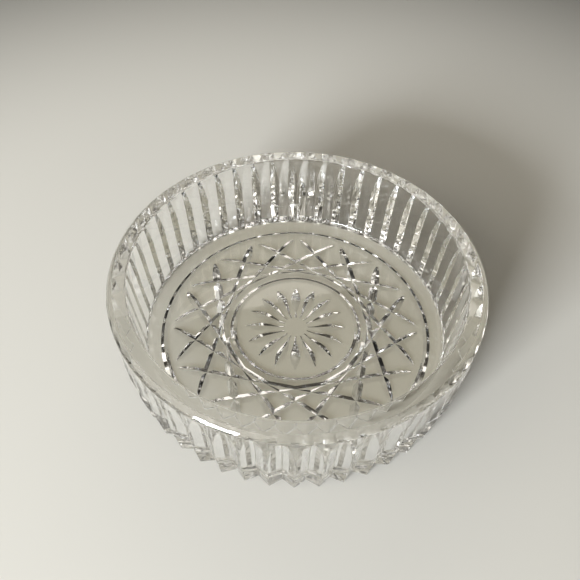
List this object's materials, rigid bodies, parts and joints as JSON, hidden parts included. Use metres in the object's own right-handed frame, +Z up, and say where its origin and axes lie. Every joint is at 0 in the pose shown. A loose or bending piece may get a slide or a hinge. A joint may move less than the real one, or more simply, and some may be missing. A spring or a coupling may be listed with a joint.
{
  "type": "crystal bottle coaster",
  "caption": "Shallow round dish of clear cut glass with a fluted wall, a bevelled rim and a star pattern cut under the base; holds a bottle upright and catches drips.",
  "frame": {"origin": "Centre of the flat underside, on the surface that the dish stands on", "axes": "+Z is up along the axis of the dish, from the underside to the rim; +X and +Y lie in the plane of the underside, each through a ridge of the wall and a ray of the star"},
  "size_m": [0.127, 0.127, 0.0375],
  "materials": {
    "cut_crystal": "clear crystal with polished faces and wheel-cut flutes and grooves"
  },
  "bodies": {
    "root": {"base_disc": "cut_crystal", "fluted_wall": "cut_crystal", "bevelled_rim": "cut_crystal"}
  },
  "joints": []
}
